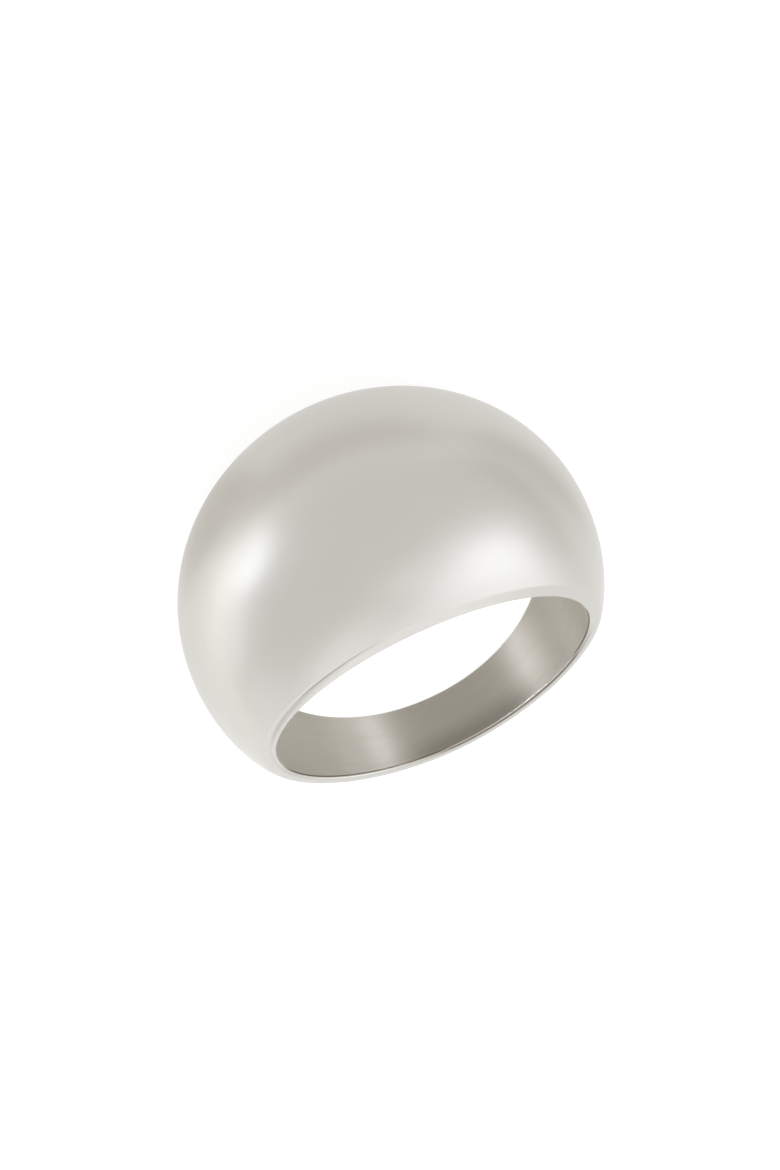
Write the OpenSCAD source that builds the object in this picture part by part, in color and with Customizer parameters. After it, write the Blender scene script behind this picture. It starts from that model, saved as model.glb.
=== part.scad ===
// Dome ring: one solid metal finger ring whose narrow band swells into a broad, high, rounded dome.
// It lies on its side, its dome towards -Y. The origin is on the floor, below the middle of the ring's box.
// Angles run round the finger hole, from 0 at the dome's crest to 180 at the back of the band.

/* [Finger hole] */
// Diameter of the finger hole, US ring size 7
finger_d = 17.3; // [14:0.1:22]
// Radius of the rounded edge at each end of the hole
rim_r = 0.15; // [0.05:0.05:0.3]

/* [Dome] */
// Width of the ring along the finger, at the dome
dome_w = 13.5; // [8:0.1:20]
// Metal thickness at the dome's crest
dome_t = 7.4; // [3:0.1:12]
// Width of the flat side face between the hole and the dome
dome_side = 0.8; // [0.5:0.05:2]

/* [Band] */
// Width of the band along the finger, at its back
band_w = 3.2; // [2.4:0.1:8]
// Metal thickness at the back of the band
band_t = 1.5; // [1.1:0.05:3]
// Width of the flat side face at the back of the band
band_side = 0.7; // [0.5:0.05:1]

/* [Blend] */
// How late the band begins to widen towards the dome: 1 is an even flare
width_power = 1.2; // [1:0.05:2]
// How late the band begins to thicken towards the dome
height_power = 3.5; // [2:0.05:5]
// Radius of the rounded edge between the side face and the dome
edge_r = 0.4; // [0.1:0.05:0.5]

/* [Hidden] */

// Sections round the ring, and straight steps along each arc of a section
stations = 96;
rim_steps = 3;
edge_steps = 3;
crown_steps = 10;
bore_facets = 96;

finger_r = finger_d / 2;
// The skin runs on this far into the hole, inwards and down, so that the bore cuts the rounded rim cleanly
core_step = 0.5;
// The rounded rim stops at this turn, just short of the hole's wall: 90 faces along the finger, 180 inwards
rim_end = 150;
// How far the bore's cutter passes each side face
cutter_pass = 1;

// Share of the dome in the section at one angle: 1 at the crest, 0 at the back of the band
function dome_share(angle) = (1 + cos(angle)) / 2;
function from_band(angle, band, dome, power) = band + (dome - band) * pow(dome_share(angle), power);

// Half the width, and the radius of the crest
function half_w(angle) = from_band(angle, band_w, dome_w, width_power) / 2;
function crest_r(angle) = finger_r + from_band(angle, band_t, dome_t, height_power);

// The radius where the side face would meet the crown. The side face grows wider
// wherever the metal is so thick that the crown would be more than a half circle.
function named_side_r(angle) = finger_r + from_band(angle, band_side, dome_side, height_power);
function side_r(angle) = max(named_side_r(angle), crest_r(angle) - half_w(angle));

// The crown is one arc across the width, from side face to side face over the crest
function rise(angle) = crest_r(angle) - side_r(angle);
function crown_r(angle) = (pow(half_w(angle), 2) + pow(rise(angle), 2)) / (2 * rise(angle));
function crown_c(angle) = crest_r(angle) - crown_r(angle);

// The rounded edge touches the side face and the crown from inside
function edge_y(angle) = half_w(angle) - edge_r;
function edge_c(angle) = crown_c(angle) + sqrt(pow(crown_r(angle) - edge_r, 2) - pow(edge_y(angle), 2));
function crown_end(angle) = atan2(edge_y(angle), edge_c(angle) - crown_c(angle));

// The rounded rim touches the side face and the hole's wall
rim_c = finger_r + rim_r;
function rim_y(angle) = half_w(angle) - rim_r;

// Points of an arc of radius r round [c, y], from one turn to another
function arc(c, y, r, from, to, steps) = [
    for (k = [0 : steps])
        let (turn = from + (to - from) * k / steps)
        [c + r * cos(turn), y + r * sin(turn)]
];
function without_first(points) = [for (k = [1 : len(points) - 1]) points[k]];

// Half a section as [radius, place along the finger], from inside the hole over the side face to the crest
function half_section(angle) =
    let (end = crown_end(angle))
    concat(
        [[finger_r - core_step, rim_y(angle) - core_step]],
        arc(rim_c, rim_y(angle), rim_r, rim_end, 90, rim_steps),
        arc(edge_c(angle), edge_y(angle), edge_r, 90, end, edge_steps),
        without_first(arc(crown_c(angle), 0, crown_r(angle), end, 0, crown_steps))
    );

function full_section(angle) =
    let (half = half_section(angle), last = len(half) - 1)
    concat(half, [for (k = [last - 1 : -1 : 0]) [half[k][0], -half[k][1]]]);

// A section's point in the ring's own frame: finger along Z, dome towards -Y
function placed(angle, point) = [point[0] * sin(angle), -point[0] * cos(angle), point[1]];

station_angles = [for (i = [0 : stations - 1]) 360 * i / stations];
sections = [for (angle = station_angles) [for (point = full_section(angle)) placed(angle, point)]];
per_section = len(sections[0]);

// Lying on its side, the ring touches the floor at two places: the hole's lower rim under the dome,
// and the rounded edge at the back of the band. The tilt makes those two level.
rim_to_edge = [rim_c + edge_c(180), rim_y(0) - edge_y(180)];
rest_tilt = atan2(rim_to_edge[1], rim_to_edge[0]) - asin((edge_r - rim_r) / norm(rim_to_edge));

function tilted_y(point) = point.y * cos(rest_tilt) + point.z * sin(rest_tilt);
function tilted_z(point) = point.z * cos(rest_tilt) - point.y * sin(rest_tilt);

// Each section's points but its two ends, which the bore cuts away
outside = [for (section = sections) for (k = [1 : per_section - 2]) section[k]];
low_z = min([for (point = outside) tilted_z(point)]);
middle_y = (min([for (point = outside) tilted_y(point)]) + max([for (point = outside) tilted_y(point)])) / 2;

// Numbers of the skin's points: the sections in turn, then the middles of its two closed ends
function at(station, k) = (station % stations) * per_section + k;
top_middle = stations * per_section;
bottom_middle = top_middle + 1;

// Outer skin of the whole ring, with the finger hole still filled
module skin() {
    polyhedron(
        points = concat(
            [for (section = sections) for (point = section) point],
            [[0, 0, half_w(90)], [0, 0, -half_w(90)]]
        ),
        faces = concat(
            [for (i = [0 : stations - 1], k = [0 : per_section - 2])
                [at(i, k), at(i, k + 1), at(i + 1, k + 1)]],
            [for (i = [0 : stations - 1], k = [0 : per_section - 2])
                [at(i, k), at(i + 1, k + 1), at(i + 1, k)]],
            [for (i = [0 : stations - 1])
                [top_middle, at(i, 0), at(i + 1, 0)]],
            [for (i = [0 : stations - 1])
                [bottom_middle, at(i + 1, per_section - 1), at(i, per_section - 1)]]
        )
    );
}

// The true round hole that the finger goes through
module finger_hole() {
    cylinder(h = dome_w + 2 * cutter_pass, r = finger_r, center = true, $fn = bore_facets);
}

// Ring, laid on its side on the floor
module ring() {
    color("silver")
    translate([0, -middle_y, -low_z])
    rotate([-rest_tilt, 0, 0])
    difference() {
        skin();
        finger_hole();
    }
}

ring();
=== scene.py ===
# %% [markdown]
# # A dome ring
# The real thing is one piece of metal: a narrow band round the finger that swells into a broad, high dome.
# The imported CAD part gives its sizes and its place. This lesson models the same ring with a smooth skin, gives
# it its polished and brushed finishes, and lights it softly on a pale floor.
#
# The first lines load the CAD part.

# %% Load the frame
import math
import bpy
from mathutils import Matrix, Vector


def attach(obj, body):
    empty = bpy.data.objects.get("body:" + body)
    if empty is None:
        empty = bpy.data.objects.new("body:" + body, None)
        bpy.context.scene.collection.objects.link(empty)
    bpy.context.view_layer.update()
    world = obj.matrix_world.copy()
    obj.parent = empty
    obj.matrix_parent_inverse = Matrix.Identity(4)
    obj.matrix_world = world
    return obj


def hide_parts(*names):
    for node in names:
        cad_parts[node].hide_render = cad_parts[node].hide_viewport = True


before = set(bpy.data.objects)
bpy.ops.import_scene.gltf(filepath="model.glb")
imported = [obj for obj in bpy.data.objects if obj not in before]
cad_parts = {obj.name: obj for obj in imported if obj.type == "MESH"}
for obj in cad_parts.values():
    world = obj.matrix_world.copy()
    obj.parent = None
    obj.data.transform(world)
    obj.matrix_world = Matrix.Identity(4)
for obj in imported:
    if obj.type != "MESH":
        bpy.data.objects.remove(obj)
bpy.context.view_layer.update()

print("nodes:", sorted(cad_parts))

# %% [markdown]
# ## Camera
# The ring lies on the floor, and the photograph looks at its dome from high on one side. The picture is also
# turned: the dome is near the top of it, where a plain camera would show it at the bottom. So the camera is
# placed by a few readable values: how far it looks round and down, its roll, its distance and the point that it
# aims at. It stands well back with a long lens, because the photograph shows little perspective.

# %% The camera
MM = 0.001
camera_azimuth = math.radians(3.33)
camera_elevation = math.radians(52.11)
camera_roll = math.radians(152.58)
camera_distance = 400 * MM
camera_aim = Vector((-0.25, 1.01, 2.61)) * MM
camera_lens, sensor_length = 241.9, 36  # in mm, the sensor's along the picture's long side

towards_camera = Vector((
    math.sin(camera_azimuth) * math.cos(camera_elevation),
    -math.cos(camera_azimuth) * math.cos(camera_elevation),
    math.sin(camera_elevation),
))
bpy.ops.object.camera_add(location=camera_aim + towards_camera * camera_distance)
camera = bpy.context.object
camera.name = "camera"
camera.rotation_mode = "QUATERNION"
level_view = (-towards_camera).to_track_quat("-Z", "Y")
camera.rotation_quaternion = level_view @ Matrix.Rotation(camera_roll, 3, "Z").to_quaternion()
camera.data.sensor_width = sensor_length
camera.data.lens = camera_lens
camera.data.clip_start = 10 * MM
camera.data.clip_end = 10
bpy.context.scene.camera = camera
print("camera at", [round(c * 1000, 1) for c in camera.location], "mm")

# %% [markdown]
# ## Sizes of the ring
# Most of these are the CAD part's own sizes. Three details follow the photograph closer than the CAD part does:
# the rim of the hole is crisper, the dome's side face ends a little further out, and the band's side face,
# which is level in the CAD part, slopes a little outwards.
#
# Angles run round the finger hole, from 0 at the dome's crest to a half turn at the back of the band. Width and
# thickness both grow from the band to the dome. The width starts to grow early and the thickness late, which
# gives the ring its swelling shape.

# %% Sizes
finger_r = 17.3 / 2 * MM
rim_r = 0.07 * MM
dome_w, dome_t, dome_side = 13.5 * MM, 7.4 * MM, 0.87 * MM
band_w, band_t, band_side = 3.2 * MM, 1.5 * MM, 0.7 * MM
width_power, height_power = 1.2, 3.5
edge_r = 0.4 * MM
band_slope, slope_power = math.radians(12), 1.5


def from_band(angle, band, dome, power):
    """A size at one angle, between its value at the back of the band and its value at the dome."""
    dome_share = (1 + math.cos(angle)) / 2
    return band + (dome - band) * dome_share ** power


def section_sizes(angle):
    """What one section across the metal needs: the half width, and the circles of its edge and its crown."""
    half_w = from_band(angle, band_w, dome_w, width_power) / 2
    crest = finger_r + from_band(angle, band_t, dome_t, height_power)
    side = finger_r + from_band(angle, band_side, dome_side, height_power)
    side = max(side, crest - half_w)
    rise = crest - side
    crown_r = (half_w ** 2 + rise ** 2) / (2 * rise)
    crown_c = crest - crown_r
    edge_y = half_w - edge_r
    edge_c = crown_c + math.sqrt((crown_r - edge_r) ** 2 - edge_y ** 2)
    crown_end = math.atan2(edge_y, edge_c - crown_c)
    return half_w, crown_r, crown_c, edge_y, edge_c, crown_end


def side_slope(angle, edge_y, edge_c):
    """How far the side face slopes outwards, the height of the rim's circle, and the side face's width."""
    slope = from_band(angle, band_slope, 0, slope_power)
    width = (edge_c - finger_r - rim_r + (edge_r - rim_r) * math.sin(slope)) / math.cos(slope)
    rim_y = edge_y + (edge_r - rim_r) * math.cos(slope) + width * math.sin(slope)
    return slope, rim_y, width


for degrees in (0, 90, 180):
    half_w, crown_r, *_ = section_sizes(math.radians(degrees))
    print(f"at {degrees} degrees: {2000 * half_w:.2f} mm wide, crown of radius {1000 * crown_r:.2f} mm")

# %% [markdown]
# ## The seam
# Close up, the photograph shows one fine dark line on the side face. Round the band it runs just outside the
# rim of the hole, and towards the dome it swings out to the end of the flat face, where it gets wide and soft
# before it fades. It is a seam that has been polished nearly away, and it is modelled as a tiny groove.

# %% Sizes of the seam
seam_dome, seam_band, seam_power = 1.15 * MM, 0.17 * MM, 4
seam_w, seam_soft_w, seam_depth = 0.10 * MM, 0.18 * MM, 0.07 * MM
seam_margin = 0.03 * MM


def fade(value, start, end):
    """0 up to start, 1 from end on, and a smooth rise between."""
    share = min(max((value - start) / (end - start), 0), 1)
    return share * share * (3 - 2 * share)


def seam_sizes(degrees, edge_c):
    """Middle, width and depth of the seam in one section. It is softest about 50 degrees from the crest."""
    softness = fade(degrees, 35, 52) - fade(degrees, 55, 90)
    width = seam_w + seam_soft_w * softness
    middle = finger_r + from_band(math.radians(degrees), seam_band, seam_dome, seam_power)
    middle = min(middle, edge_c - width / 2 - seam_margin)
    depth = seam_depth * (1 - softness / 3) * (fade(degrees, 4, 22) - fade(degrees, 238, 250))
    return middle, width, depth


for degrees in (50, 180):
    _, width, depth = seam_sizes(degrees, section_sizes(math.radians(degrees))[4])
    print(f"seam at {degrees} degrees: {1000 * width:.2f} mm wide, {1000 * depth:.2f} mm deep")

# %% [markdown]
# ## One section
# The ring could be a torus pushed into shape, but its corners would then melt away: the flat side faces, the
# small rounded edges and the round hole all have sizes to keep. So it is drawn the way a maker draws it, as
# sections. Each starts as a tiny plane on the wall of the finger hole, merged to a single point. Extrude draws
# the straight stretches, and Spin draws the arcs. A point just before and after each small arc, and after the
# seam, keeps them small when the mesh is smoothed later. The ring's two sides are alike, so only one half of
# each section is drawn.

# %% Draw half a section
rim_steps, edge_steps, crown_steps = 3, 3, 14
guard = 0.06 * MM


def extrude_by(step):
    bpy.ops.mesh.extrude_region_move(TRANSFORM_OT_translate={"value": step})


def draw_half_section(degrees):
    """From the middle of the hole's wall, round the rim, over the side face and the edge, up to the crest."""
    angle = math.radians(degrees)
    half_w, crown_r, crown_c, edge_y, edge_c, crown_end = section_sizes(angle)
    seam, width, depth = seam_sizes(degrees, edge_c)
    slope, rim_y, side_w = side_slope(angle, edge_y, edge_c)
    outwards = Vector((math.sin(angle), -math.cos(angle), 0))
    along = Vector((0, 0, 1))
    turn_axis = outwards.cross(along)
    down_side = outwards * math.cos(slope) - along * math.sin(slope)
    into_metal = -outwards * math.sin(slope) - along * math.cos(slope)
    rim_c = finger_r + rim_r
    right_angle = math.pi / 2

    bpy.ops.mesh.select_all(action="DESELECT")
    bpy.ops.mesh.primitive_plane_add(size=guard, location=outwards * finger_r)
    bpy.ops.mesh.merge(type="CENTER")
    extrude_by(along * (rim_y - guard))
    extrude_by(along * guard)
    bpy.ops.mesh.spin(steps=rim_steps, angle=right_angle + slope, axis=turn_axis,
                      center=outwards * rim_c + along * rim_y)
    to_seam = seam - width / 2 - rim_c
    from_seam = side_w - to_seam - width
    after_rim = min(guard, to_seam / 2)
    after_seam = min(guard / 2, from_seam / 3)
    before_edge = min(guard, from_seam / 3)
    extrude_by(down_side * after_rim)
    extrude_by(down_side * (to_seam - after_rim))
    extrude_by(down_side * width / 2 + into_metal * depth)
    extrude_by(down_side * width / 2 - into_metal * depth)
    extrude_by(down_side * after_seam)
    extrude_by(down_side * (from_seam - after_seam - before_edge))
    extrude_by(down_side * before_edge)
    bpy.ops.mesh.spin(steps=edge_steps, angle=right_angle - slope - crown_end, axis=turn_axis,
                      center=outwards * edge_c + along * edge_y)
    bpy.ops.mesh.spin(steps=crown_steps, angle=crown_end, axis=turn_axis,
                      center=outwards * crown_c)


# %% [markdown]
# ## Half of the ring
# The sections stand round the finger hole like slices, close together so that the smooth skin keeps the real
# outline. Bridge Edge Loops then spans from each one to the next, and from the last one to the first. The
# ring's object starts as a plane whose points are deleted, so that it holds nothing but the sections.

# %% Draw the sections and bridge them
stations = 96

bpy.ops.object.select_all(action="DESELECT")
bpy.ops.mesh.primitive_plane_add(size=guard)
ring = bpy.context.object
ring.name = "smooth_ring"
bpy.ops.object.mode_set(mode="EDIT")
bpy.ops.mesh.select_mode(type="VERT")
bpy.ops.mesh.delete(type="VERT")
for station in range(stations):
    draw_half_section(360 * station / stations)
bpy.ops.mesh.select_all(action="SELECT")
bpy.ops.mesh.bridge_edge_loops(type="CLOSED")
bpy.ops.object.mode_set(mode="OBJECT")
print("half ring:", len(ring.data.vertices), "points,", len(ring.data.polygons), "faces")

# %% [markdown]
# ## The whole ring
# A Mirror modifier copies the half to the other side and welds the two where they meet. The faces are then
# made to point outwards, because mirrored ones can be inside out, and a Subdivision Surface turns the flat
# facets into one smooth skin.
#
# Before that the points are marked, while there are few of them. Painted shade darkens the seam on both sides of
# the ring. Round most of the band it also darkens the side faces and, on the side that will be up, the rim and
# the wall of the hole. An attribute says how dark each point is, from 0 to 1. Each function below gives that
# number for one place, by the angle from the dome's crest in degrees. The painted shade starts and ends in soft
# fades.

# %% Mirror
mirror = ring.modifiers.new("other_side", "MIRROR")
mirror.use_axis = (False, False, True)
mirror.merge_threshold = 0.001 * MM  # far less than the steps between points
bpy.ops.object.modifier_apply(modifier=mirror.name)

bpy.ops.object.mode_set(mode="EDIT")
bpy.ops.mesh.select_all(action="SELECT")
bpy.ops.mesh.normals_make_consistent(inside=False)
bpy.ops.object.mode_set(mode="OBJECT")
print("whole ring:", len(ring.data.vertices), "points,", len(ring.data.polygons), "faces")

# %% Mark the painted shade


# Painted shade in the seam's groove round the back of the band.
def band_seam_shade(degrees):
    return fade(degrees, 170, 182) - fade(degrees, 234, 246)


# Painted shade in the seam's groove towards the dome: crisp near the crest, then soft, then fading.
def dome_seam_shade(degrees):
    return 0.5 * fade(degrees, 4, 24) - 0.2 * fade(degrees, 33, 48) - 0.3 * fade(degrees, 60, 90)


# Painted shade on the side face at the seam's inner edge.
def dome_side_shade(degrees):
    return 0.25 * (fade(degrees, 15, 35) - fade(degrees, 60, 90))


# Painted shade on the rounded rim of the hole, round the band.
def rim_shade(degrees):
    return fade(degrees, 95, 112) - 0.6 * band_seam_shade(degrees) - fade(degrees, 270, 280)


# Painted shade on the side faces round the band.
def side_shade(degrees):
    return 0.13 * fade(degrees, 90, 110) + 0.21 * fade(degrees, 155, 180) - 0.34 * fade(degrees, 244, 266)


# Painted shade on the hole's wall at the back of the band.
def wall_shade(degrees):
    return 0.33 * (fade(degrees, 138, 178) - fade(degrees, 203, 238))


# How close a point has to lie to its place, always less than the steps between points.
near, near_seam_start, near_seam_middle, near_seam_end = 0.002 * MM, 0.012 * MM, 0.02 * MM, 0.018 * MM
# The attribute holds the painted shade, from 0 to 1 at each point.
painted_shade = ring.data.attributes.new("painted_shade", "FLOAT", "POINT")
for point, mark in zip(ring.data.vertices, painted_shade.data):
    radius = math.hypot(point.co.x, point.co.y)
    degrees = math.degrees(math.atan2(point.co.x, -point.co.y)) % 360
    *_, edge_y, edge_c, _ = section_sizes(math.radians(degrees))
    seam, width, _ = seam_sizes(degrees, edge_c)
    if abs(point.co.z) > edge_y and radius < edge_c:
        if radius > finger_r + rim_r - near:
            mark.value = side_shade(degrees)
        elif point.co.z > 0 and radius > finger_r + near:
            mark.value = rim_shade(degrees)
        elif point.co.z > 0:
            mark.value = wall_shade(degrees)
        past_seam_start = radius - seam + width / 2
        if -near < past_seam_start < width + near_seam_end:
            mark.value = max(mark.value, band_seam_shade(degrees))
        if abs(radius - seam) < near_seam_middle:
            mark.value = max(mark.value, dome_seam_shade(degrees))
        if abs(past_seam_start) < near_seam_start:
            mark.value = max(mark.value, dome_side_shade(degrees))
print("darkened points:", sum(mark.value > 0 for mark in painted_shade.data))

# %% Smooth
smooth = ring.modifiers.new("smooth_skin", "SUBSURF")
smooth.levels = smooth.render_levels = 2
bpy.ops.object.modifier_apply(modifier=smooth.name)
bpy.ops.object.shade_smooth()
print("smooth ring:", 2 * len(ring.data.polygons), "triangles")

# %% [markdown]
# ## Directions on the skin
# Brushed metal shines differently along its lines and across them, so its material needs to know which way the
# lines run. A UV map tells it: U counts millimetres round the ring, and V millimetres along the finger. Where U
# comes back to its start, a face's corners are kept on the same turn as the face's middle.

# %% UV map round the ring
turn_map = ring.data.uv_layers.new(name="round_the_ring")
for face in ring.data.polygons:
    face_turn = math.atan2(face.center.x, -face.center.y)
    for corner in face.loop_indices:
        p = ring.data.vertices[ring.data.loops[corner].vertex_index].co
        turn = math.atan2(p.x, -p.y)
        turn += 2 * math.pi * round((face_turn - turn) / (2 * math.pi))
        turn_map.data[corner].uv = (turn * finger_r / MM, p.z / MM)
print("UV map:", turn_map.name)

# %% [markdown]
# ## On its side
# Laid down, the ring tips until it rests on two places: the hole's rim under the dome, and the rounded edge at
# the back of the band. The lean comes from the sizes of those two, and then the ring is moved so that it
# touches the floor and its box stands over the origin, as the CAD part's does.

# %% Lay it on the floor
half_w_dome = section_sizes(0)[0]
_, _, _, edge_y_back, edge_c_back, _ = section_sizes(math.pi)
between = Vector((finger_r + rim_r + edge_c_back, half_w_dome - rim_r - edge_y_back))
rest_tilt = math.atan2(between.y, between.x) - math.asin((edge_r - rim_r) / between.length)

bpy.ops.transform.rotate(value=rest_tilt, orient_axis="X", center_override=(0, 0, 0))
bpy.ops.object.transform_apply(location=True, rotation=True, scale=True)
points = [v.co for v in ring.data.vertices]
low_z = min(p.z for p in points)
middle_y = (min(p.y for p in points) + max(p.y for p in points)) / 2
bpy.ops.transform.translate(value=(0, -middle_y, -low_z))
bpy.ops.object.transform_apply(location=True, rotation=True, scale=True)
hole_centre = Vector((0, -middle_y, -low_z))
print(f"leans {math.degrees(rest_tilt):.2f} degrees")
print("hole's centre in mm:", [round(c * 1000, 3) for c in hole_centre])

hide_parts("ring")
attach(ring, "root")

# %% [markdown]
# ## Fine lines in the metal
# Polishing and brushing both leave fine lines that run round the ring. On the dome they can hardly be seen,
# and inside the hole they are plain. Both metals use the same effect, so it is one node group: noise that is
# pulled long round the ring and kept short along the finger. The object lies tilted, so its coordinates are
# first turned back into the ring's own, with the finger along Z.

# %% Node group: lines round the ring
lines = bpy.data.node_groups.new("lines_round_the_ring", "ShaderNodeTree")
for name, default in (("Line Width", 0.07), ("Line Length", 3.0)):
    lines.interface.new_socket(name, in_out="INPUT", socket_type="NodeSocketFloat").default_value = default
lines.interface.new_socket("Lines", in_out="OUTPUT", socket_type="NodeSocketFloat")
lines.interface.new_socket("Patches", in_out="OUTPUT", socket_type="NodeSocketFloat")


def add_node(tree, kind, x, y, **settings):
    node = tree.nodes.new(kind)
    node.location = (x, y)
    for name, value in settings.items():
        setattr(node, name, value)
    return node


sizes_in = add_node(lines, "NodeGroupInput", -900, -200)
place = add_node(lines, "ShaderNodeTexCoord", -900, 200)
ring_frame = add_node(lines, "ShaderNodeMapping", -700, 200, vector_type="TEXTURE")
ring_frame.inputs["Location"].default_value = hole_centre
ring_frame.inputs["Rotation"].default_value = (-rest_tilt, 0, 0)
to_mm = add_node(lines, "ShaderNodeVectorMath", -500, 200, operation="SCALE")
to_mm.inputs["Scale"].default_value = 1 / MM
cell = add_node(lines, "ShaderNodeCombineXYZ", -500, -100)
stretched = add_node(lines, "ShaderNodeVectorMath", -300, 100, operation="DIVIDE")
fine = add_node(lines, "ShaderNodeTexNoise", -100, 200)
fine.inputs["Scale"].default_value = 1
fine.inputs["Detail"].default_value = 3
broad = add_node(lines, "ShaderNodeTexNoise", -100, -100)
broad.inputs["Scale"].default_value = 0.35
broad.inputs["Detail"].default_value = 2
values_out = add_node(lines, "NodeGroupOutput", 150, 100)
for from_socket, to_socket in (
    (place.outputs["Object"], ring_frame.inputs["Vector"]),
    (ring_frame.outputs["Vector"], to_mm.inputs[0]),
    (sizes_in.outputs["Line Length"], cell.inputs["X"]),
    (sizes_in.outputs["Line Length"], cell.inputs["Y"]),
    (sizes_in.outputs["Line Width"], cell.inputs["Z"]),
    (to_mm.outputs["Vector"], stretched.inputs[0]),
    (cell.outputs["Vector"], stretched.inputs[1]),
    (stretched.outputs["Vector"], fine.inputs["Vector"]),
    (to_mm.outputs["Vector"], broad.inputs["Vector"]),
    (fine.outputs["Fac"], values_out.inputs["Lines"]),
    (broad.outputs["Fac"], values_out.inputs["Patches"]),
):
    lines.links.new(from_socket, to_socket)
print("group", lines.name, "has", len(lines.nodes), "nodes")

# %% [markdown]
# ## Two finishes of one metal
# Outside, the metal is polished to a soft sheen: light spreads on it in wide, blurred spots. Inside the hole it
# is left brushed, so it is rougher and the lines catch the light. Its colour there is darker and warmer, partly
# the brushed metal's own and partly painted shade for the inside of the hole. Each material sets its own sizes
# for the lines and mixes them into its colour, its roughness and its bump. The painted shade that was marked on
# the points darkens the colour last.

# %% Materials


# Painted shade: the colour that marked points are darkened towards, and the marks at which it starts and is
# full.
painted_shade_colour = (0.13, 0.11, 0.08)
faintest_shade, full_shade = 0.05, 0.8
noise_range = 0.3, 0.7  # the fine noise seldom leaves it


def ring_metal(name, light, dark, roughness, line_width, line_length, line_depth):
    """A metal of two near colours, a range of roughness, and lines of one width, length and depth in mm."""
    metal = bpy.data.materials.new(name)
    metal.use_nodes = True
    tree = metal.node_tree
    surface = tree.nodes["Principled BSDF"]
    surface.inputs["Metallic"].default_value = 1
    group = add_node(tree, "ShaderNodeGroup", -700, 100, node_tree=lines)
    group.inputs["Line Width"].default_value = line_width
    group.inputs["Line Length"].default_value = line_length
    blend = add_node(tree, "ShaderNodeMath", -500, 250, operation="ADD", use_clamp=True)
    spread = add_node(tree, "ShaderNodeMapRange", -500, 50)
    spread.inputs["From Min"].default_value, spread.inputs["From Max"].default_value = noise_range
    weigh = add_node(tree, "ShaderNodeMath", -600, 250, operation="MULTIPLY")
    weigh.inputs[1].default_value = 0.5
    weigh_patches = add_node(tree, "ShaderNodeMath", -600, 400, operation="MULTIPLY")
    weigh_patches.inputs[1].default_value = 0.5
    colour = add_node(tree, "ShaderNodeMix", -250, 300, data_type="RGBA")
    colour.inputs["A"].default_value = (*dark, 1)
    colour.inputs["B"].default_value = (*light, 1)
    polish = add_node(tree, "ShaderNodeMapRange", -250, 50)
    polish.inputs["To Min"].default_value, polish.inputs["To Max"].default_value = roughness
    # The painted shade marked on the points darkens the base colour.
    shade_mark = add_node(tree, "ShaderNodeAttribute", -450, 600, attribute_name="painted_shade")
    shade_range = add_node(tree, "ShaderNodeMapRange", -250, 600)
    shade_range.inputs["From Min"].default_value = faintest_shade
    shade_range.inputs["From Max"].default_value = full_shade
    darken = add_node(tree, "ShaderNodeMix", -50, 400, data_type="RGBA")
    darken.inputs["B"].default_value = (*painted_shade_colour, 1)
    bump = add_node(tree, "ShaderNodeBump", -250, -250)
    bump.inputs["Strength"].default_value = 1
    bump.inputs["Distance"].default_value = line_depth * MM
    for from_socket, to_socket in (
        (group.outputs["Lines"], spread.inputs["Value"]),
        (spread.outputs["Result"], weigh.inputs[0]),
        (group.outputs["Patches"], weigh_patches.inputs[0]),
        (weigh.outputs["Value"], blend.inputs[0]),
        (weigh_patches.outputs["Value"], blend.inputs[1]),
        (blend.outputs["Value"], colour.inputs["Factor"]),
        (blend.outputs["Value"], polish.inputs["Value"]),
        (group.outputs["Lines"], bump.inputs["Height"]),
        (shade_mark.outputs["Fac"], shade_range.inputs["Value"]),
        (shade_range.outputs["Result"], darken.inputs["Factor"]),
        (colour.outputs["Result"], darken.inputs["A"]),
        (darken.outputs["Result"], surface.inputs["Base Color"]),
        (polish.outputs["Result"], surface.inputs["Roughness"]),
        (bump.outputs["Normal"], surface.inputs["Normal"]),
    ):
        tree.links.new(from_socket, to_socket)
    return metal


polished = ring_metal(
    "softly_polished_metal", light=(0.575, 0.556, 0.514), dark=(0.555, 0.536, 0.494),
    roughness=(0.34, 0.38), line_width=0.05, line_length=4, line_depth=0.0002,
)
# Its colours are darker than the polished ones, partly painted shade for the inside of the hole.
brushed = ring_metal(
    "brushed_metal", light=(0.52, 0.487, 0.424), dark=(0.41, 0.378, 0.315),
    roughness=(0.40, 0.58), line_width=0.07, line_length=2.5, line_depth=0.004,
)
ring.data.materials.append(polished)
ring.data.materials.append(brushed)

across_lines = brushed.node_tree.nodes["Principled BSDF"]
across_lines.inputs["Anisotropic"].default_value = 0.95
across_lines.inputs["Anisotropic Rotation"].default_value = 0.25  # a quarter turn, to along the finger
round_ring = add_node(
    brushed.node_tree, "ShaderNodeTangent", -250, -450, direction_type="UV_MAP", uv_map=turn_map.name)
brushed.node_tree.links.new(round_ring.outputs["Tangent"], across_lines.inputs["Tangent"])

to_ring = (Matrix.Translation(hole_centre) @ Matrix.Rotation(-rest_tilt, 4, "X")).inverted()
for face in ring.data.polygons:
    p = to_ring @ face.center
    face.material_index = 1 if math.hypot(p.x, p.y) < finger_r + near else 0
print("brushed faces:", sum(face.material_index for face in ring.data.polygons))

# %% [markdown]
# ## Floor and light
# The photograph is taken on plain white with large soft lights. Polished metal shows its surroundings, so what
# it needs is an even, bright room and a white table. The table glows a little, as one lit from below does, so
# that no hard shadow shows on it.

# %% White room and table
room = bpy.data.worlds.new("white_room")
bpy.context.scene.world = room
room.use_nodes = True
background = room.node_tree.nodes["Background"]
background.inputs["Color"].default_value = (1, 1, 1, 1)
background.inputs["Strength"].default_value = 0.975

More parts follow.
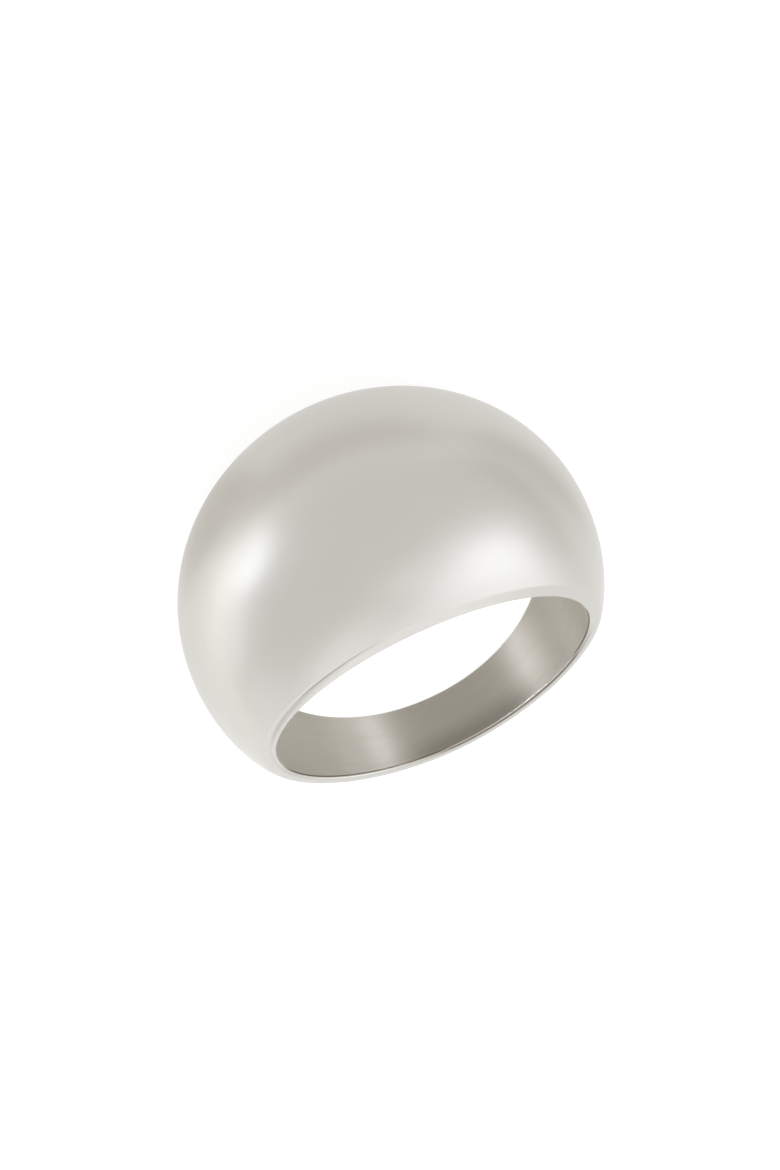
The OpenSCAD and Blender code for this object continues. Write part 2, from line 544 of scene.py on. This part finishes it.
bpy.ops.mesh.primitive_plane_add(size=4)
floor = bpy.context.object
floor.name = "floor"
table = bpy.data.materials.new("white_table")
table.use_nodes = True
table_top = table.node_tree.nodes["Principled BSDF"]
table_top.inputs["Base Color"].default_value = (0.30, 0.30, 0.30, 1)
table_top.inputs["Roughness"].default_value = 0.9
table_top.inputs["Specular IOR Level"].default_value = 0
table_top.inputs["Emission Color"].default_value = (1, 1, 1, 1)
table_top.inputs["Emission Strength"].default_value = 0.80
floor.data.materials.append(table)
print("table of", [round(side, 2) for side in floor.dimensions[:2]], "m")

# %% [markdown]
# ## Soft boxes
# Each bright spot on the dome is the blurred mirror image of a light, so a soft box stands where the mirror
# would see it. Azimuth 0 is the camera's side of the ring and 90 is on +X. Brightness 1 is about as bright as
# the white room, which makes the numbers easy to compare. The boxes are a little bluer than the room, so that
# the highlights come out white on the warm metal.

# %% Soft boxes


def direction(azimuth, elevation):
    a, e = math.radians(azimuth), math.radians(elevation)
    return Vector((math.sin(a) * math.cos(e), -math.cos(a) * math.cos(e), math.sin(e)))


def add_lamp(kind, name, location, facing):
    bpy.ops.object.light_add(type=kind, location=location)
    lamp = bpy.context.object
    lamp.name = name
    lamp.rotation_mode = "QUATERNION"
    lamp.rotation_quaternion = facing.to_track_quat("-Z", "Y")
    lamp.visible_camera = False
    return lamp


def add_soft_box(name, azimuth, elevation, distance, width, height, brightness, blue):
    """An oval lamp that faces the ring. Angles are in degrees and sizes in metres. Blue is 0 for white light."""
    towards_box = direction(azimuth, elevation)
    box = add_lamp("AREA", name, hole_centre + towards_box * distance, -towards_box)
    box.data.shape = "ELLIPSE"
    box.data.size, box.data.size_y = width, height
    box.data.color = (1 - 0.4 * blue, 1, 1 + blue)
    box.data.energy = brightness * math.pi * (math.pi / 4 * width * height)
    print(f"{name}: {box.data.energy:.3f} W")


add_soft_box("soft_box_back", -135, 36, 0.6, 0.30, 0.28, 0.32, 0.17)
add_soft_box("soft_box_back_wide", -140, 36, 0.6, 0.60, 0.45, 0.65, 0.15)
add_soft_box("soft_box_back_left", -108, 42, 0.6, 0.28, 0.60, 0.31, 0.14)
add_soft_box("soft_box_above", -156, 70, 0.6, 0.28, 0.24, 0.27, 0.08)
add_soft_box("soft_box_low_left", -143, 9, 0.3, 0.10, 0.07, 0.25, 0.12)
add_soft_box("soft_box_back_right", 160, 38, 0.6, 0.22, 0.38, 0.36, 0.08)
add_soft_box("soft_box_behind", 180, 18, 0.6, 0.50, 0.22, 0.52, 0.08)
add_soft_box("soft_box_right", 145, 12, 0.3, 0.30, 0.12, 0.26, 0.12)
add_soft_box("soft_box_low", 62, 2.5, 0.15, 0.09, 0.065, 1.45, 0.22)
add_soft_box("soft_box_low_wide", 96, 2.5, 0.15, 0.10, 0.05, 0.53, 0.12)

# %% [markdown]
# ## Pools of light on the table
# Low on its right the dome mirrors the table, which is brighter there. Three small lamps over the table make
# pools of light on it beside the ring.

# %% Pools of light


table_lamp_height, table_lamp_spread = 70 * MM, math.radians(50)
straight_down = Vector((0, 0, -1))


def add_table_lamp(name, azimuth, distance, width, brightness):
    place = direction(azimuth, 0) * distance - straight_down * table_lamp_height
    lamp = add_lamp("AREA", name, place, straight_down)
    lamp.data.shape = "DISK"
    lamp.data.size = width
    lamp.data.spread = table_lamp_spread
    lamp.data.energy = brightness * math.pi * (math.pi / 4 * width ** 2)
    print(f"{name}: {lamp.data.energy:.3f} W")


add_table_lamp("table_lamp_front", 68, 0.06, 0.05, 3.0)
add_table_lamp("table_lamp_side", 108, 0.06, 0.06, 0.95)
add_table_lamp("table_lamp_back", 150, 0.07, 0.06, 0.89)

# %% [markdown]
# ## Small lamps for the hole
# Brushed metal draws each lamp out into a bright band across its lines. The photograph shows two such bands on
# the wall of the hole. A lamp makes its band where the wall faces halfway between the lamp and the camera, so
# narrow lamps are aimed at just these places. Each band fades slowly on one side, so a second, weaker lamp
# stands lower beside the first, and one more lights the right end of the wall.

# %% Hole lamps


hole_lamp_distance, hole_lamp_radius, hole_lamp_cone = 0.2, 0.003, math.radians(8)
hole_lamp_colour = (0.925, 0.98, 1.12)


def add_hole_lamp(name, azimuth, elevation, ring_angle, strength):
    """A narrow lamp, aimed at the hole's wall where ring_angle, in degrees, says. The crest is at 0."""
    angle = math.radians(ring_angle)
    on_wall = Vector((finger_r * math.sin(angle), -finger_r * math.cos(angle), 0))
    aim = hole_centre + Matrix.Rotation(-rest_tilt, 3, "X") @ on_wall
    towards_lamp = direction(azimuth, elevation)
    lamp = add_lamp("SPOT", name, aim + towards_lamp * hole_lamp_distance, -towards_lamp)
    lamp.data.spot_size = hole_lamp_cone
    lamp.data.spot_blend = 1
    lamp.data.shadow_soft_size = hole_lamp_radius
    lamp.data.color = hole_lamp_colour
    lamp.data.energy = strength * 4 * math.pi * hole_lamp_distance ** 2
    print(f"{name}: {lamp.data.energy:.3f} W")


add_hole_lamp("hole_lamp_left", -70, 54, 157, 1.18)
add_hole_lamp("hole_lamp_left_low", -90, 41, 141, 0.30)
add_hole_lamp("hole_lamp_right", 86, 44, -145, 1.05)
add_hole_lamp("hole_lamp_right_low", 96, 38, -136, 0.25)
add_hole_lamp("hole_lamp_right_end", 125, 25, -118, 0.20)

# %% [markdown]
# ## Grey cards
# A photographer darkens part of a mirror image with a grey card. Here three cards lie in front of the dome and
# beside it, and one stands. They give it the soft, darker arc near its outline. Only mirror images see them. A
# hard edge would show in the metal, so a node group fades each card out towards its edges, by the plane's own
# UV map.

# %% Node group: soft edge
soft_edge = bpy.data.node_groups.new("soft_edge", "ShaderNodeTree")
soft_edge.interface.new_socket("Softness", in_out="INPUT", socket_type="NodeSocketFloat").default_value = 0.25
soft_edge.interface.new_socket("Cover", in_out="OUTPUT", socket_type="NodeSocketFloat")
softness_in = add_node(soft_edge, "NodeGroupInput", -700, -200)
on_card = add_node(soft_edge, "ShaderNodeTexCoord", -900, 100)
from_middle = add_node(soft_edge, "ShaderNodeVectorMath", -700, 100, operation="SUBTRACT")
from_middle.inputs[1].default_value = (0.5, 0.5, 0)
either_way = add_node(soft_edge, "ShaderNodeVectorMath", -500, 100, operation="ABSOLUTE")
two_ways = add_node(soft_edge, "ShaderNodeSeparateXYZ", -300, 100)
nearest_edge = add_node(soft_edge, "ShaderNodeMath", -100, 100, operation="MAXIMUM")
inwards = add_node(soft_edge, "ShaderNodeMath", 100, 100, operation="SUBTRACT")
inwards.inputs[0].default_value = 0.5
fade_in = add_node(soft_edge, "ShaderNodeMapRange", 300, 100, interpolation_type="SMOOTHSTEP")
cover_out = add_node(soft_edge, "NodeGroupOutput", 500, 100)
for from_socket, to_socket in (
    (on_card.outputs["UV"], from_middle.inputs[0]),
    (from_middle.outputs["Vector"], either_way.inputs[0]),
    (either_way.outputs["Vector"], two_ways.inputs["Vector"]),
    (two_ways.outputs["X"], nearest_edge.inputs[0]),
    (two_ways.outputs["Y"], nearest_edge.inputs[1]),
    (nearest_edge.outputs["Value"], inwards.inputs[1]),
    (inwards.outputs["Value"], fade_in.inputs["Value"]),
    (softness_in.outputs["Softness"], fade_in.inputs["From Max"]),
    (fade_in.outputs["Result"], cover_out.inputs["Cover"]),
):
    soft_edge.links.new(from_socket, to_socket)
print("group", soft_edge.name, "has", len(soft_edge.nodes), "nodes")

# %% Grey cards


card_lift = 0.3  # in mm, so that a lying card is clear of the table
card_softness = 0.25  # the share of its width and height over which a card fades in
card_tint = (1, 0.99, 0.965)


def add_card(name, x, y, width, height, turn, upright, brightness):
    """A card that lies just over the table or stands on it. Its place and its sizes are in mm."""
    bpy.ops.object.select_all(action="DESELECT")
    bpy.ops.mesh.primitive_plane_add(size=1)
    card = bpy.context.object
    card.name = name
    card.scale = (width * MM, height * MM, 1)
    card.rotation_euler = (math.pi / 2 if upright else 0, 0, math.radians(turn))
    card.location = (x * MM, y * MM, height / 2 * MM if upright else card_lift * MM)
    bpy.ops.object.transform_apply(location=True, rotation=True, scale=True)
    grey = bpy.data.materials.new(name)
    grey.use_nodes = True
    surface = grey.node_tree.nodes["Principled BSDF"]
    surface.inputs["Base Color"].default_value = (0, 0, 0, 1)
    surface.inputs["Specular IOR Level"].default_value = 0
    surface.inputs["Emission Color"].default_value = (*card_tint, 1)
    surface.inputs["Emission Strength"].default_value = brightness
    edge = add_node(grey.node_tree, "ShaderNodeGroup", -300, 0, node_tree=soft_edge)
    edge.inputs["Softness"].default_value = card_softness
    grey.node_tree.links.new(edge.outputs["Cover"], surface.inputs["Alpha"])
    card.data.materials.append(grey)
    card.visible_camera = card.visible_diffuse = card.visible_shadow = False
    print(name, "of", width, "x", height, "mm")


add_card("card_front", -3, -35, 74, 42, 0, False, 0.87)
add_card("card_right", 12, -13.5, 13.5, 20, 20, False, 0.885)
add_card("card_left", -60, 10, 104, 15, -80, True, 0.77)
add_card("card_left_low", -29, -4, 26, 34, 0, False, 0.86)

# %% [markdown]
# ## Colours
# The Standard view shows white as white, as the photograph does.

# %% Colours
bpy.context.scene.view_settings.view_transform = "Standard"
